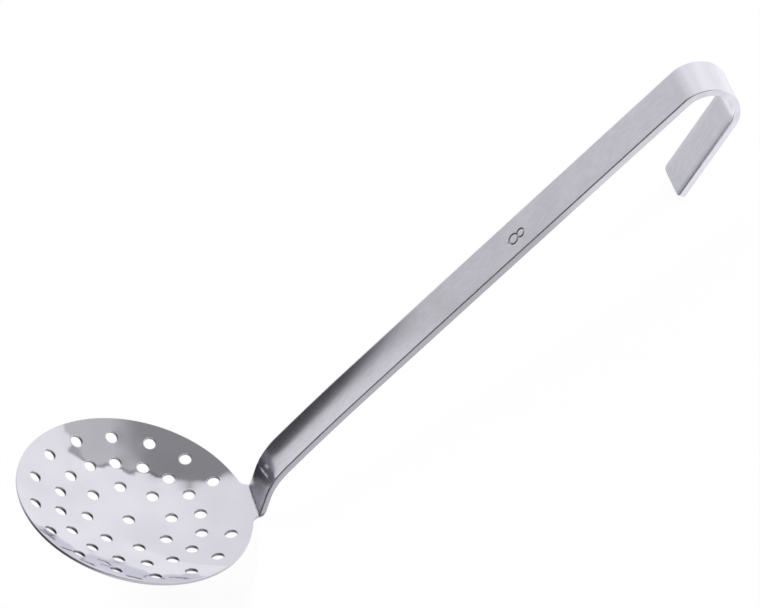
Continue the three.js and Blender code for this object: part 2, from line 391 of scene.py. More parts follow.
def quads(ids, closed=True):
    """Corners of the faces between the rows of a grid of numbers, closed round each row or open."""
    if closed:
        ids = np.concatenate([ids, ids[:, :1]], axis=1)
    return np.stack([ids[:-1, :-1], ids[:-1, 1:], ids[1:, 1:], ids[1:, :-1]], -1).reshape(-1, 4)


def make_piece(name, node, material, points, normals, faces, corners_uv=None, values=None):
    """Makes a smooth mesh with its own normals in place of a CAD node and lays it on its back. Points,
    normals, corners and each of the values come as lists of arrays that follow one another."""
    rest = bpy.context.scene.skimmer_rest
    turn = np.array(Matrix.Rotation(rest.lean, 3, "Y"))
    mesh = bpy.data.meshes.new(name)
    places = np.concatenate(points) @ turn.T + np.array(rest.place)
    mesh.from_pydata(places.tolist(), [], faces)
    if corners_uv is not None:
        layer = mesh.uv_layers.new(name="bar")
        layer.data.foreach_set("uv", np.concatenate(corners_uv).astype(np.float32).ravel())
    for key, numbers in (values or {}).items():
        attribute = mesh.attributes.new(key, "FLOAT", "POINT")
        attribute.data.foreach_set("value", np.concatenate(numbers).astype(np.float32))
    mesh.shade_smooth()
    mesh.normals_split_custom_set_from_vertices((unit(np.concatenate(normals)) @ turn.T).tolist())
    mesh.materials.append(material)
    piece = bpy.data.objects.new(name, mesh)
    bpy.context.scene.collection.objects.link(piece)
    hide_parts(node)
    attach(piece, BODY)


class Dish:
    """The spherical sheet of the bowl. A flat place on it is measured along the middle of the sheet."""

    def __init__(self, bowl):
        self.rim = bowl.diameter / 2
        self.inner = (self.rim ** 2 + bowl.depth ** 2) / (2 * bowl.depth)
        self.outer = self.inner + bowl.sheet
        self.middle = self.inner + bowl.sheet / 2
        self.height = self.inner - bowl.depth

    def flat(self, plan):
        """Flat place of a point given in plan."""
        reach = np.linalg.norm(plan, axis=-1, keepdims=True)
        return plan * self.middle * np.arcsin(reach / self.middle) / np.maximum(reach, TINY)

    def outward(self, flat):
        """Direction square to the sheet, away from the inside of the bowl."""
        reach = np.linalg.norm(flat, axis=-1)
        tilt = reach / self.middle
        scale = np.sin(tilt) / np.maximum(reach, TINY)
        return np.stack([flat[..., 0] * scale, flat[..., 1] * scale, -np.cos(tilt)], -1)

    def point(self, flat, sphere, upright):
        """Point on one of the two spheres at a flat place, straight above the middle where upright is 1."""
        plan = self.outward(flat)[..., :2] * (sphere + (self.middle - sphere) * upright)[..., None]
        drop = np.sqrt(sphere ** 2 - (plan ** 2).sum(-1))
        return np.concatenate([plan, (self.height - drop)[..., None]], -1)

    def face_height(self, sphere, x, y):
        """Height of one of the two spheres over a point in plan."""
        return self.height - math.sqrt(sphere ** 2 - x ** 2 - y ** 2)


RIM_POINTS = 320
FILLET_POINTS = 14
TAB_POINTS = 26


def bowl_outline(bowl, half_root):
    """Trim line in plan and its outward directions: rim circle, two fillets and the root tab's end."""
    rim = bowl.diameter / 2
    fillet = bowl.root_fillet
    end = rim + bowl.root_reach
    centre_y = half_root + fillet
    centre_x = math.sqrt((rim + fillet) ** 2 - centre_y ** 2)
    side = math.atan2(centre_y, centre_x)
    stop = math.acos((end - centre_x) / fillet)
    points, outs = [], []

    def arc(x, y, radius, turns, facing):
        for turn in turns:
            points.append((x + radius * math.cos(turn), y + radius * math.sin(turn)))
            outs.append((facing * math.cos(turn), facing * math.sin(turn)))

    arc(0, 0, rim, np.linspace(side, 2 * math.pi - side, RIM_POINTS), 1)
    arc(centre_x, -centre_y, fillet, np.linspace(math.pi - side, stop, FILLET_POINTS)[1:], -1)
    corner = points[-1][1]
    mitre = math.sin(stop) / (1 - math.cos(stop))
    outs[-1] = (1, -mitre)
    for y in np.linspace(corner, -corner, TAB_POINTS)[1:-1]:
        points.append((end, y))
        outs.append((1, 0))
    tab_end = len(outs)
    arc(centre_x, centre_y, fillet, np.linspace(-stop, side - math.pi, FILLET_POINTS)[:-1], -1)
    # All along the far fillet the sheet's edge is drawn in as it is at the corner of the tab
    outs[tab_end:] = [(1, mitre)] * (FILLET_POINTS - 1)
    return np.array(points), np.array(outs)


def hole_places(bowl, dish):
    """Flat places of the holes: two rings of one count, an inner ring and the middle one. The outer
    ring has none where the handle joins on."""
    outer_ring = dish.middle * math.asin(dish.rim / dish.middle) - bowl.rim_margin
    places = [(0, 0)]
    for ring, count in enumerate((bowl.outer_holes, bowl.outer_holes, bowl.inner_holes)):
        reach = outer_ring - ring * bowl.ring_pitch
        for i in range(1 if ring == 0 else 0, count):
            turn = 2 * math.pi * i / count
            places.append((reach * math.cos(turn), reach * math.sin(turn)))
    return np.array(places)


HOLE_POINTS = 40
GRID_STEP = 1.5 * MM
GRID_CLEARANCE = 2.2 * MM
RIM_LINES = (0.8 * MM, 1.5 * MM)
HOLE_LINES = (0.35 * MM, 0.85 * MM, 1.5 * MM)
INSIDE_OUTLINE = 1
SAME_PLACE = 1e-6


def bowl_flat_mesh(bowl, dish, outline, outs, holes):
    """Triangles of the flat sheet inside its rounded edges. Gives the flat places, the loops of
    places along the trim line and round each hole, and the triangles."""
    edge = bowl.edge_round
    bore = bowl.hole_diameter / 2
    places = [outline - edge * outs]
    loops = [np.arange(len(outline))]
    count = len(outline)
    turns = np.linspace(0, 2 * math.pi, HOLE_POINTS, endpoint=False)
    ring = np.stack([np.cos(turns), np.sin(turns)], 1)
    for hole in holes:
        places.append(hole + ring * (bore + edge))
        loops.append(np.arange(count, count + HOLE_POINTS))
        count += HOLE_POINTS
    for inset in RIM_LINES:
        places.append((outline - inset * outs)[::2])
    for more in HOLE_LINES:
        places.extend(hole + ring[::2] * (bore + edge + more) for hole in holes)
    flat_rim = dish.flat(np.array([dish.rim, 0]))[0]
    for radius in np.arange(GRID_STEP, flat_rim, GRID_STEP):
        spots = max(6, round(2 * math.pi * radius / GRID_STEP))
        turns = np.linspace(0, 2 * math.pi, spots, endpoint=False) + radius
        grid = np.stack([radius * np.cos(turns), radius * np.sin(turns)], 1)
        hole_gap = np.linalg.norm(grid[:, None] - holes[None], axis=2).min(1) - bore - edge
        rim_gap = np.linalg.norm(grid[:, None] - outline[None], axis=2).min(1)
        places.append(grid[(hole_gap > GRID_CLEARANCE) & (rim_gap > GRID_CLEARANCE)])
    flat = np.concatenate(places)
    ties = [(int(a), int(b)) for loop in loops for a, b in zip(loop, np.roll(loop, -1))]
    spots = [Vector(place) for place in (flat / MM).tolist()]
    result = delaunay_2d_cdt(spots, ties, [], INSIDE_OUTLINE, SAME_PLACE)
    source = [ids[0] for ids in result[3]]
    triangles = np.array([[source[i] for i in face] for face in result[2]])
    # A triangle with its three corners on one hole's edge fills that hole, and is left out
    loop_of = np.zeros(len(flat), int)
    for number, loop in enumerate(loops):
        loop_of[loop] = number
    owner = loop_of[triangles]
    in_hole = (owner[:, 0] > 0) & (owner[:, 0] == owner[:, 1]) & (owner[:, 1] == owner[:, 2])
    return flat, loops, triangles[~in_hole]


def die_roll(bowl, dish, flat, holes):
    """How far each place is drawn down by the punches, and the slope there as a vector towards them."""
    bore = bowl.hole_diameter / 2
    away = flat[:, None] - holes[None]
    gap = np.linalg.norm(away, axis=2)
    fall = bowl.die_roll * np.exp(-(np.maximum(gap - bore, 0) / bowl.die_roll_width) ** 2)
    slope = 2 * np.maximum(gap - bore, 0) / bowl.die_roll_width ** 2 * fall
    towards = -away / np.maximum(gap, TINY)[..., None]
    flat_slope = (towards * slope[..., None]).sum(1)
    outward = dish.outward(flat)
    lifted = np.concatenate([flat_slope, np.zeros((len(flat), 1))], 1)
    return fall.sum(1), lifted - outward * (lifted * outward).sum(1, keepdims=True)


EDGE_STEPS = 5
RIM_UPRIGHT = 3 * MM
# Share of the sheared tone laid on the rim's edge: painted shade
RIM_PAINTED_SHADE = 0.5
EDGE_DULL = 0.6


def build_bowl():
    """The bowl: two faces over one flat triangulation, joined round every edge by a rounded strip."""
    scene = bpy.context.scene
    bowl = scene.skimmer_bowl
    dish = Dish(bowl)
    plan, outs = bowl_outline(bowl, scene.skimmer_handle.width / 2)
    outline = dish.flat(plan)
    holes = hole_places(bowl, dish)
    flat, loops, triangles = bowl_flat_mesh(bowl, dish, outline, outs, holes)
    count = len(flat)
    drawn, slope = die_roll(bowl, dish, flat, holes)
    rim_gap = np.array([np.linalg.norm(outline - place, axis=1).min() for place in flat])
    upright = 1 - smooth(rim_gap, bowl.edge_round, RIM_UPRIGHT)
    centre = np.array([0, 0, dish.height])
    inner = dish.point(flat, dish.inner, upright)
    outer = dish.point(flat, dish.outer, upright)
    normals = [unit(unit(centre - inner) + slope), unit(-unit(centre - outer) - slope)]
    sunk = dish.outward(flat) * drawn[:, None]
    inner = inner + sunk
    outer = outer + sunk
    points = [inner, outer]
    sheared = [np.zeros(2 * count)]
    faces = triangles.tolist() + (triangles[:, ::-1] + count).tolist()
    total = 2 * count
    bore = bowl.hole_diameter / 2
    for number, loop in enumerate(loops):
        is_rim = number == 0
        edge_flat = outline
        if not is_rim:
            hole = holes[number - 1]
            edge_flat = hole + unit(flat[loop] - hole) * bore
        lean = np.full(len(loop), float(is_rim))
        sunk = dish.outward(edge_flat) * drawn[loop][:, None]
        top = dish.point(edge_flat, dish.inner, lean) + sunk
        low = dish.point(edge_flat, dish.outer, lean) + sunk
        down = unit(low - top) * bowl.edge_round
        rows = np.concatenate(
            [bend(inner[loop], top, top + down, EDGE_STEPS), bend(low - down, low, outer[loop], EDGE_STEPS)]
        )
        along = np.roll(rows, -1, axis=1) - np.roll(rows, 1, axis=1)
        across = np.gradient(rows, axis=0)
        strip_normals = unit(np.cross(across, along))
        middle = (inner[loop] + outer[loop]) / 2
        if ((rows[EDGE_STEPS] - middle) * strip_normals[EDGE_STEPS]).sum() < 0:
            strip_normals = -strip_normals
        inside = rows[1:-1]
        points.append(inside.reshape(-1, 3))
        normals.append(strip_normals[1:-1].reshape(-1, 3))
        wall = np.zeros(len(inside))
        # Hole walls are dull sheared metal; the rim's edge is darkened with painted shade
        dull = RIM_PAINTED_SHADE if is_rim else 1
        wall[EDGE_STEPS - 1:EDGE_STEPS + 1] = dull
        wall[[EDGE_STEPS - 2, EDGE_STEPS + 1]] = EDGE_DULL * dull
        sheared.append(np.repeat(wall, len(loop)))
        ids = np.arange(total, total + wall.size * len(loop)).reshape(-1, len(loop))
        total += ids.size
        strip = quads(np.concatenate([[loop], ids, [loop + count]]))
        faces += (strip[:, ::-1] if is_rim else strip).tolist()
    steel = buffed_sheet(scene.skimmer_steel)
    values = {"sheared": sheared}
    make_piece("skimmer_bowl", "bowl", steel, points, normals, faces, values=values)


DISH_SLANT = 1.8 * MM
DISH_FULL = 1 * MM
FOOT_FLAT = 1 * MM
NECK_HOLLOW = 0.6
GROUND_SLANT = 5.3 * MM
CURL_START = 0.6
BEND_CORE = 0.3
BEND_END = 0.6
NUMERAL_MARGIN = 0.6
NUMERAL_STEP = 0.12 * MM

# Darkness of the sheared side at the foot, its duller metal and painted shade together, and where along
# the bar that painted shade pales and by how much
SIDE_DULL_AND_SHADE_AT_FOOT = 0.82
SIDE_SHADE_PALING = ((0.52, 0.62, 0.4), (0.72, 0.84, 0.25))

# How far in from the bar's side its sheared flank starts and is full, in roundings of the front edge,
# and how much further it reaches round the neck's edges as painted shade, a dark line along them
FLANK_START = 0.1
FLANK_FULL = 0.05
EDGE_SHADE_START = 1.2
EDGE_SHADE_FULL = 0.65
EDGE_SHADE_FADE = 4 * MM
SATIN_BLEND = 0.25 * MM
GROUND_BLEND = 4 * MM


class Bar:
    """Side profile of the handle's front face, followed from the foot to the tip of the hook."""

    def __init__(self, scene):
        sizes = scene.skimmer_handle
        dish = Dish(scene.skimmer_bowl)
        self.sizes = sizes
        # The foot stands a third of the sheet's thickness deep in it
        self.foot = dish.face_height(dish.inner, sizes.front, 0) - scene.skimmer_bowl.sheet / 3
        self.neck = sizes.neck_rise - self.foot
        neck_turn = math.radians(90) - sizes.lean_angle - sizes.bow_turn
        self.bend = sizes.neck_radius * neck_turn
        self.hook = (sizes.hook_radius + sizes.thickness) * sizes.hook_turn
        # Length of each stretch, its turn and the step between its sections
        self.stretches = [
            (self.neck, 0, 0.5 * MM),
            (self.bend, neck_turn, 0.4 * MM),
            (sizes.bow_radius * sizes.bow_turn, sizes.bow_turn, 0.8 * MM),
            (sizes.grip_length, 0, 1.5 * MM),
            (self.hook, sizes.hook_turn, 0.35 * MM),
            (sizes.hook_leg - sizes.tip_corner, 0, 1.2 * MM),
            (sizes.tip_corner, 0, 0.1 * MM),
        ]
        self.length = sum(stretch for stretch, *_ in self.stretches)
        self.dish_start = self.neck + self.bend / 2

    def stations(self):
        """Distances from the foot at which a section is drawn, closer over the numeral and the tip."""
        marks = [0.0]
        for stretch, _, step in self.stretches:
            start = marks[-1]
            marks.extend((start + np.linspace(0, stretch, round(stretch / step) + 1)[1:]).tolist())
        half = NUMERAL_MARGIN * self.sizes.numeral_height
        place = self.sizes.numeral_place
        outside = [mark for mark in marks if abs(mark - place) > half]
        return np.array(sorted(outside + np.arange(place - half, place + half, NUMERAL_STEP).tolist()))

    def at(self, distance):
        """Place in X and Z and heading of the front face at a distance from the foot."""
        x, z, heading = self.sizes.front, self.foot, math.pi / 2
        for stretch, turn, _ in self.stretches:
            part = min(distance, stretch)
            bent = turn * part / stretch
            chord = part if turn == 0 else 2 * math.sin(bent / 2) * stretch / turn
            x += chord * math.cos(heading - bent / 2)
            z += chord * math.sin(heading - bent / 2)
            heading -= bent
            distance -= part
            if distance <= 0:
                break
        return x, z, heading

    def placed(self, distance, across, depth):
        """Points of one section from their places across and their depths below the front face. The foot
        is cut at 45 degrees, and the sections straighten up along the neck."""
        x, z, heading = self.at(distance)
        cut = depth * max(0, 1 - distance / self.neck)
        return np.stack(
            [
                x + depth * math.sin(heading) + cut * math.cos(heading),
                across,
                z - depth * math.cos(heading) + cut * math.sin(heading),
            ],
            1,
        )

    def thickness(self, distance):
        """Thickness of the bar, which is thinner at the foot."""
        grown = smooth(distance, self.neck, self.neck + self.bend)
        return self.sizes.foot_thickness + (self.sizes.thickness - self.sizes.foot_thickness) * grown

    def dish(self, distance, share):
        """Depth of the trough, for a share of the half width."""
        beyond = distance - self.satin_start(share)
        hollow = NECK_HOLLOW * smooth(distance, FOOT_FLAT, self.neck)
        grown = hollow + (1 - hollow) * smooth(beyond, DISH_FULL - self.sizes.dish_run_in, DISH_FULL)
        return self.sizes.dish_depth * grown * (1 - smooth(beyond, DISH_FULL, self.sizes.dish_fade))

    def satin_start(self, share):
        """Where the satin begins, for a share of the half width: later towards the near edge."""
        return self.dish_start - DISH_SLANT * share

    def ground_end(self, share):
        """How far up the neck the weld's grinding reaches, for a share of the half width."""
        return self.neck - GROUND_SLANT * share

    def hooked(self, distance):
        """One where the bar's back has become the inside of the hook, and nought before it."""
        hook_start = self.length - self.sizes.hook_leg - self.hook
        return smooth(distance, hook_start, hook_start + self.hook / 2)

    def front_edge(self, distance):
        """Rounding of the two front edges."""
        sizes = self.sizes
        worn = 1 - smooth(distance, self.dish_start, self.dish_start + sizes.dish_fade)
        return sizes.edge_round + (sizes.neck_edge_round - sizes.edge_round) * worn

    def back_edge(self, distance):
        """Rounding of the two back edges."""
        sizes = self.sizes
        return sizes.edge_round + (sizes.hook_edge_round - sizes.edge_round) * self.hooked(distance)

    def curl(self, distance, share):
        """How far the inside of the hook falls away, for a share of the half width."""
        outer = np.maximum(0, np.abs(share) - CURL_START) / (1 - CURL_START)
        return self.sizes.hook_curl * self.hooked(distance) * outer ** 2

    def bent(self, distance):
        """One in the hook's bend and nought away from it."""
        middle = self.length - self.sizes.hook_leg - self.hook / 2
        return 1 - smooth(abs(distance - middle), BEND_CORE * self.hook, BEND_END * self.hook)

    def flank(self, distance, across, half):
        """One on the bar's two sheared sides and nought on its faces, at places across. Along the neck it
        reaches round the front edges as painted shade, a dark line along them.
        """
        edge = self.front_edge(distance)
        edge_shade = edge * (1 - smooth(distance, self.dish_start - EDGE_SHADE_FADE, self.dish_start))
        start = half - FLANK_START * edge - EDGE_SHADE_START * edge_shade
        return smooth(np.abs(across), start, half - FLANK_FULL * edge - EDGE_SHADE_FULL * edge_shade)

    def side_painted_shade(self, distance):
        """How dark the sheared side is, its duller metal with painted shade over it: darkest near the bowl,
        paler from the middle of the grip on, palest round the hook.
        """
        shade = SIDE_DULL_AND_SHADE_AT_FOOT
        for start, end, paler in SIDE_SHADE_PALING:
            shade -= paler * smooth(distance, start * self.length, end * self.length)
        return shade

    def half_width(self, distance):
        """Half the width of the bar, drawn in at the corners of the tip."""
        corner = self.sizes.tip_corner
        inside = max(0, corner - (self.length - distance))
        return self.sizes.width / 2 - corner + math.sqrt(max(0, corner ** 2 - inside ** 2))

    def end_inset(self, distance):
        """How far the section draws in where the end of the bar is rounded over."""
        edge = self.sizes.edge_round
        inside = max(0, edge - (self.length - distance))
        return edge - math.sqrt(max(0, edge ** 2 - inside ** 2))


MIDDLE_PLACES = 61
SIDE_PLACES = 11


def across_places(half, fine):
    """Places across a face of the bar, from -1 to 1 of its half width, closest in the middle."""
    middle = np.linspace(-fine, fine, MIDDLE_PLACES)
    side = np.linspace(fine, half, SIDE_PLACES)[1:]
    return np.concatenate([-side[::-1], middle, side]) / half


CORNER_STEPS = 6


def bar_section(half_width, thickness, edge, back_edge, spread):
    """Closed section as rows of across and depth, from the near side over the front and round."""
    rows = []

    def corner(side, depth, radius, start):
        for turn in np.linspace(start, start + math.pi / 2, CORNER_STEPS + 1):
            centre = side * (half_width - radius)
            rows.append((centre + radius * math.cos(turn), depth + radius * math.sin(turn)))

    corner(-1, edge, edge, math.pi)
    rows.extend(((half_width - edge) * share, 0) for share in spread[1:-1])
    corner(1, edge, edge, -math.pi / 2)
    corner(1, thickness - back_edge, back_edge, 0)
    rows.extend(((back_edge - half_width) * share, thickness) for share in spread[1:-1])
    corner(-1, thickness - back_edge, back_edge, math.pi / 2)
    return np.array(rows)


# The numeral's two loops: half their heights as shares of the whole, and the upper one's width
LOWER_LOOP = 0.28
UPPER_LOOP = 0.22
UPPER_WIDTH = 0.82
NUMERAL_SPREAD = 0.62

# How much of the edges' rounding is lost where the end of the bar is rounded over
END_LOSS = 0.98


def numeral_dent(sizes, distance, across):
    """Share of the full stamp depth at each place across the front: two loops, the lower one larger."""
    lower = LOWER_LOOP * sizes.numeral_height
    upper = UPPER_LOOP * sizes.numeral_height
    dent = np.zeros(len(across))
    for middle, tall, wide in (
        (sizes.numeral_place - lower, lower, sizes.numeral_width / 2),
        (sizes.numeral_place + upper, upper, UPPER_WIDTH * sizes.numeral_width / 2),
    ):
        ring = np.hypot((distance - middle) / tall, (across + sizes.numeral_offset) / wide)
        gap = np.abs(ring - 1) * np.sqrt(tall * wide)
        dent = np.maximum(dent, np.clip(1 - (gap / sizes.stroke) ** 2, 0, 1))
    return dent


def build_handle():
    """The handle: one bar section swept from the neck over the grip and round the hook."""
    scene = bpy.context.scene
    bar = Bar(scene)
    sizes = bar.sizes
    marks = bar.stations()
    fine = NUMERAL_SPREAD * sizes.numeral_width + sizes.numeral_offset
    spread = across_places(sizes.width / 2 - sizes.edge_round, fine)
    rings, sections = [], []
    values = {zone: [] for zone in HANDLE_ZONES}
    for mark in marks:
        inset = bar.end_inset(mark)
        half = bar.half_width(mark)
        rounding = 1 - END_LOSS * inset / sizes.edge_round
        section = bar_section(
            half - inset,
            bar.thickness(mark) - 2 * inset,
            bar.front_edge(mark) * rounding,
            bar.back_edge(mark) * rounding,
            spread,
        )
        across = section[:, 0]
        share = across / half
        front = np.arange(len(section)) < len(section) / 2
        # The numeral's share also darkens its grooves with painted shade in the material
        stamp = numeral_dent(sizes, mark, across) * front
        hollow = bar.dish(mark, share) * (1 - share ** 2) + sizes.stamp_depth * stamp
        depth = section[:, 1] + inset + hollow - bar.curl(mark, share) * ~front
        rings.append(bar.placed(mark, across, depth))
        sections.append(section)
        zones = (
            stamp,
            smooth(mark - bar.satin_start(share), -SATIN_BLEND, SATIN_BLEND),
            # The side zone: the sheared flank's duller metal with painted shade over it
            bar.flank(mark, across, half - inset) * bar.side_painted_shade(mark),
            1 - smooth(mark - bar.ground_end(share), -GROUND_BLEND, GROUND_BLEND),
            np.full(len(section), bar.bent(mark)),
        )
        for zone, value in zip(HANDLE_ZONES, zones):
            values[zone].append(value)
    rings = np.array(rings)
    count = rings.shape[1]
    middle = sections[len(marks) // 2]
    sides = np.linalg.norm(np.roll(middle, -1, axis=0) - middle, axis=1)
    girth = np.concatenate([[0], np.cumsum(sides)])
    closed = np.concatenate([rings[:, -2:], rings, rings[:, :2]], axis=1)
    closed_girth = np.concatenate([girth[-3:-1] - girth[-1], girth[:-1], girth[-1] + girth[:2]])
    around = np.gradient(closed, closed_girth, axis=1)[:, 2:-2]
    onward = np.gradient(rings, marks, axis=0)
    points = [rings.reshape(-1, 3)]
    normals = [np.cross(onward, around).reshape(-1, 3)]
    outward = [0, 3, 2, 1]
    faces = quads(np.arange(len(marks) * count).reshape(-1, count))[:, outward].tolist()
    sheet = np.stack(np.meshgrid(marks, girth, indexing="ij"), -1).reshape(-1, 2)
    spots = quads(np.arange(len(sheet)).reshape(-1, len(girth)), closed=False)[:, outward]
    corners_uv = [sheet[spots].reshape(-1, 2)]
    end = bar.at(bar.length)[2]
    caps = ((0, (1, 0, -1), 1), (-1, (math.cos(end), 0, math.sin(end)), -1))
    for number, (ring, facing, order) in enumerate(caps):
        points.append(rings[ring])
        normals.append(np.tile(facing, (count, 1)))
        first = (len(marks) + number) * count
        faces.append([*range(first, first + count)][::order])
        corners_uv.append(np.stack([np.full(count, marks[ring]), girth[:-1]], 1)[::order])
        # Both cut ends are ground, as the foot is
        for rows in values.values():
            rows.append(rows[0])
    steel = satin_bar(scene.skimmer_steel)
    make_piece("skimmer_handle", "handle", steel, points, normals, faces, corners_uv, values)


WELD_STEPS = 10
WELD_SECTIONS = 61
WELD_END = 0.98


def weld_runs(scene, bar, dish, y):
    """Section of the weld at one place across, as four runs: the fillet in the crease, the side inside
    the neck, the ground back, and the side inside the root tab. It draws in towards both ends."""
    weld = scene.skimmer_weld
    sizes = bar.sizes
    skin = weld.skin
    root = weld.penetration
    face = sizes.front - skin
    toe_x = face - weld.crease_fillet
    toe = np.array([toe_x, dish.face_height(dish.inner, toe_x, y) + skin])
    crease = np.array([face, dish.face_height(dish.inner, face, y) + skin])
    top = crease + np.array([0, weld.crease_fillet])
    rear = sizes.front + sizes.foot_thickness + skin
    back = np.array([rear, bar.foot + sizes.foot_thickness + weld.back_rise])
    low_x = sizes.front - weld.back_reach
    low = np.array([low_x, dish.face_height(dish.outer, low_x, y) - skin])
    slope = low_x / math.sqrt(dish.outer ** 2 - low_x ** 2)
    corner = np.array([rear, low[1] + (rear - low_x) * slope])
    middle = (crease + corner) / 2
    ended = (abs(y) - sizes.width / 2 - weld.end_reach) / weld.end_run + 1
    size = math.sqrt(1 - max(0, ended) ** 2)
    return [
        middle + size * (run - middle)
        for run in (
            bend(toe, crease, top, WELD_STEPS),
            np.array([top, (face + root, top[1]), (rear - root, back[1]), back]),
            bend(back, corner, low, WELD_STEPS),
            np.array([low, (low_x, low[1] + root), (toe_x, toe[1] - root), toe]),
        )
    ]


def build_weld():
    """The weld: its section drawn across the neck, rising with the sheet towards both sides."""
    scene = bpy.context.scene
    bar = Bar(scene)
    dish = Dish(scene.skimmer_bowl)
    half = bar.sizes.width / 2 + WELD_END * scene.skimmer_weld.end_reach
    places = half * np.sin(np.linspace(-math.pi / 2, math.pi / 2, WELD_SECTIONS))
    sections = [weld_runs(scene, bar, dish, y) for y in places]
    points, normals, faces, total = [], [], [], 0
    ends = [[], []]
    for run in range(len(sections[0])):
        grid = np.array([np.insert(section[run], 1, y, axis=1) for section, y in zip(sections, places)])
        ids = total + np.arange(grid[..., 0].size).reshape(grid.shape[:2])
        forward = np.gradient(grid, axis=1, edge_order=2)
        points.append(grid.reshape(-1, 3))
        normals.append(np.cross(forward, np.gradient(grid, places, axis=0)).reshape(-1, 3))
        faces += quads(ids, closed=False).tolist()
        ends[0].extend(ids[0, :-1])
        ends[1].extend(ids[-1, :-1])
        total += ids.size
    shell = np.concatenate(points)
    for end, side in zip(ends, (-1, 1)):
        points.append(shell[end])
        normals.append(np.tile((0, side, 0), (len(end), 1)))
        faces.append([*range(total, total + len(end))][::side])
        total += len(end)
    steel = ground_weld(scene.skimmer_steel)
    make_piece("skimmer_weld", "weld_seam", steel, points, normals, faces)


# Directions in the studio: the tent's lit side, the edges of its opening, and what lies beyond it
LIT_SIDE = (0.94, 0.34, 0)
FRONT_EDGE = (0.267, -0.916, 0.3)
LEFT_EDGE = (-0.282, -0.758, 0.588)
ROOF = (0, -1, 1.02)
BACK_EDGE = (0, 1, 0.094)
WINDOW = (0.07, -0.82, 0.57)
UP = (0, 0, 1)
RIGHT = (1, 0, 0)
NEAR = (0, -1, 0)

FLOOR_RADIUS = 6
FLOOR_SIDES = 64
FLOOR_SHADOW = 0.3
FLOOR_GLOW = 0.87
LAMP_SIZE = 0.8
LAMP_WATTS = 5
LAMP_PLACE = (0, 0.1, 2)
PHOTO_WIDTH = 760
SENSOR_WIDTH = 36
CAMERA_REACH = 50


def worktop(studio):
    """Matt laminate worktop, pale and plain: it shows as white, apart from the skimmer's soft shadow."""
    material, tree = new_material("laminate_worktop_matt")
    place = add(tree, "ShaderNodeTexCoord").outputs["Object"]
    mottle = pattern(tree, place, LAMINATE_MOTTLE, 2)
    relief = add(tree, "ShaderNodeBump", {"Height": mottle, "Distance": 0.01 * MM})
    matt, faint = (
        add(
            tree,
            "ShaderNodeBsdfDiffuse",
            {"Color": (*[share * c for c in studio.floor], 1), "Normal": relief.outputs[0]},
        ).outputs[0]
        for share in (1, FLOOR_SHADOW)
    )
    glow = add(tree, "ShaderNodeEmission", {"Color": (1, 1, 1, 1), "Strength": FLOOR_GLOW})
    shown = add(tree, "ShaderNodeAddShader", {0: glow.outputs[0], 1: faint}).outputs[0]
    path = add(tree, "ShaderNodeLightPath").outputs
    seen = path["Is Camera Ray"]
    for ray in ("Is Glossy Ray", "Is Transmission Ray"):
        seen = add(tree, "ShaderNodeMath", {0: seen, 1: path[ray]}, operation="MAXIMUM").outputs[0]
    surface = add(tree, "ShaderNodeMixShader", {0: seen, 1: matt, 2: shown})
    add(tree, "ShaderNodeOutputMaterial", {"Surface": surface.outputs[0]})
    return material


def studio_light(scene):
    """World of a white tent, open on the camera's side: the steel mirrors the tent as light and the
    room beyond it as dark."""
    world = bpy.data.worlds.new("studio_tent")
    world.use_nodes = True
    tree = world.node_tree
    tree.nodes.clear()
    way = add(tree, "ShaderNodeTexCoord").outputs["Generated"]

    def part(direction, turn, level, kind="SMOOTHSTEP"):
        """A value that runs between two levels as the view turns towards a direction."""
        towards = Vector(direction).normalized()
        facing = add(tree, "ShaderNodeVectorMath", {0: way, 1: towards}, operation="DOT_PRODUCT")
        inputs = dict(zip(("From Min", "From Max", "To Min", "To Max"), (*turn, *level)))
        inputs["Value"] = facing.outputs["Value"]
        return add(tree, "ShaderNodeMapRange", inputs, interpolation_type=kind).outputs[0]

    back_shade = part(BACK_EDGE, turn=(0.485, 0.58), level=(0.72, 1))
    tent = [
        part(LIT_SIDE, turn=(-0.45, 0.95), level=(0.61, 1), kind="LINEAR"),
        ("MULTIPLY", part(ROOF, turn=(-0.03, 0.13), level=(1, back_shade))),
    ]
    frame_right = part(RIGHT, turn=(0.68, 0.8), level=(1, 0.6))
    room = [
        part(UP, turn=(0.28, 0.52), level=(0.62, 0.3)),
        ("MULTIPLY", part(RIGHT, turn=(-0.35, 0.35), level=(0.18, 1))),
        ("MAXIMUM", part(NEAR, turn=(-0.2, 0.5), level=(0, 0.18))),
        ("MAXIMUM", part(WINDOW, turn=(0.85, 0.93), level=(0, 0.55))),
        ("MULTIPLY", part(FRONT_EDGE, turn=(0.02, 0.05), level=(frame_right, 1))),
    ]
    opening = [
        part(ROOF, turn=(0.1, 0.14), level=(0, 1)),
        ("MINIMUM", part(BACK_EDGE, turn=(0.485, 0.52), level=(1, 0))),
        ("MAXIMUM", part(FRONT_EDGE, turn=(-0.005, 0.012), level=(0, 1))),
        ("MAXIMUM", part(LEFT_EDGE, turn=(-0.055, 0.005), level=(0, 1))),
    ]
    inputs = {}
    for socket, (value, *steps) in {"To Min": tent, "To Max": room, "Value": opening}.items():
        for operation, other in steps:
            value = add(tree, "ShaderNodeMath", {0: value, 1: other}, operation=operation).outputs[0]
        inputs[socket] = value
    level = add(tree, "ShaderNodeMapRange", inputs)
    light = add(tree, "ShaderNodeBackground", {"Color": (1, 1, 1, 1), "Strength": level.outputs[0]})
    add(tree, "ShaderNodeOutputWorld", {"Surface": light.outputs[0]})
    scene.world = world


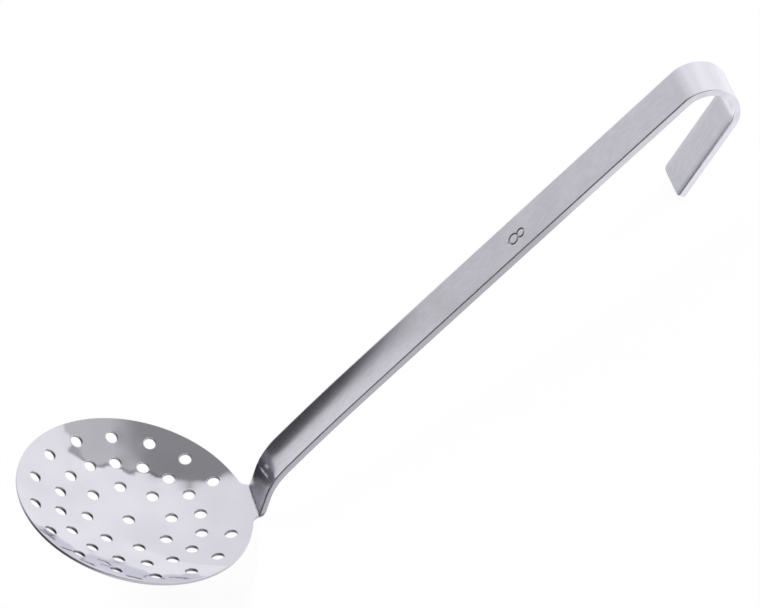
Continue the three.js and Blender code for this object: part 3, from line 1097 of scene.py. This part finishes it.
def build_stage():
    """Worktop, soft overhead lamp, studio light and the camera at the photograph's place."""
    scene = bpy.context.scene
    studio = scene.skimmer_studio
    turns = np.linspace(0, 2 * math.pi, FLOOR_SIDES, endpoint=False)
    edge = [(FLOOR_RADIUS * math.cos(turn), FLOOR_RADIUS * math.sin(turn), 0) for turn in turns]
    mesh = bpy.data.meshes.new("worktop")
    mesh.from_pydata(edge, [], [range(FLOOR_SIDES)])
    mesh.materials.append(worktop(studio))
    floor = bpy.data.objects.new("worktop", mesh)
    scene.collection.objects.link(floor)
    studio_light(scene)
    lamp = bpy.data.lights.new("overhead_softbox", "AREA")
    lamp.shape = "SQUARE"
    lamp.size = LAMP_SIZE
    lamp.energy = LAMP_WATTS
    softbox = bpy.data.objects.new("overhead_softbox", lamp)
    softbox.location = LAMP_PLACE
    softbox.visible_glossy = False
    scene.collection.objects.link(softbox)
    lens = bpy.data.cameras.new("photo_camera")
    lens.sensor_width = SENSOR_WIDTH
    lens.lens = studio.focal_pixels * SENSOR_WIDTH / PHOTO_WIDTH
    lens.clip_end = CAMERA_REACH
    camera = bpy.data.objects.new("photo_camera", lens)
    camera.location = studio.camera_place
    camera.rotation_euler = Euler(studio.camera_turn, "XYZ")
    scene.collection.objects.link(camera)
    scene.camera = camera
    scene.view_settings.view_transform = "Standard"


class SKIMMER_OT_bowl(Operator):
    """Build the buffed bowl with its drain holes"""

    bl_idname = "skimmer.bowl"
    bl_label = "Build bowl"

    def execute(self, context):
        build_bowl()
        return {"FINISHED"}


class SKIMMER_OT_handle(Operator):
    """Build the satin bar handle with its hook"""

    bl_idname = "skimmer.handle"
    bl_label = "Build handle"

    def execute(self, context):
        build_handle()
        return {"FINISHED"}


class SKIMMER_OT_weld(Operator):
    """Build the ground weld between bowl and handle"""

    bl_idname = "skimmer.weld"
    bl_label = "Build weld"

    def execute(self, context):
        build_weld()
        return {"FINISHED"}


class SKIMMER_OT_stage(Operator):
    """Set up the worktop, the light and the camera"""

    bl_idname = "skimmer.stage"
    bl_label = "Set up studio"

    def execute(self, context):
        build_stage()
        return {"FINISHED"}


class SKIMMER_PT_panel(Panel):
    """Skimmer's sizes, finishes and build steps"""

    bl_idname = "SKIMMER_PT_panel"
    bl_label = "Skimmer"
    bl_space_type = "VIEW_3D"
    bl_region_type = "UI"
    bl_category = "Skimmer"

    def draw(self, context):
        for group in GROUPS:
            box = self.layout.box()
            settings = getattr(context.scene, group)
            for name in settings.__annotations__:
                box.prop(settings, name)
        for operator in OPERATORS:
            self.layout.operator(operator.bl_idname)


GROUPS = {
    "skimmer_rest": SKIMMER_PG_rest,
    "skimmer_bowl": SKIMMER_PG_bowl,
    "skimmer_handle": SKIMMER_PG_handle,
    "skimmer_weld": SKIMMER_PG_weld,
    "skimmer_steel": SKIMMER_PG_steel,
    "skimmer_studio": SKIMMER_PG_studio,
}
OPERATORS = (SKIMMER_OT_bowl, SKIMMER_OT_handle, SKIMMER_OT_weld, SKIMMER_OT_stage)
CLASSES = (*GROUPS.values(), *OPERATORS, SKIMMER_PT_panel)


def register():
    for item in CLASSES:
        bpy.utils.register_class(item)
    for name, group in GROUPS.items():
        setattr(bpy.types.Scene, name, PointerProperty(type=group))


def unregister():
    for name in GROUPS:
        delattr(bpy.types.Scene, name)
    for item in reversed(CLASSES):
        bpy.utils.unregister_class(item)


def main():
    register()
    bpy.ops.skimmer.bowl()
    bpy.ops.skimmer.handle()
    bpy.ops.skimmer.weld()
    bpy.ops.skimmer.stage()


if __name__ == "__main__":
    main()
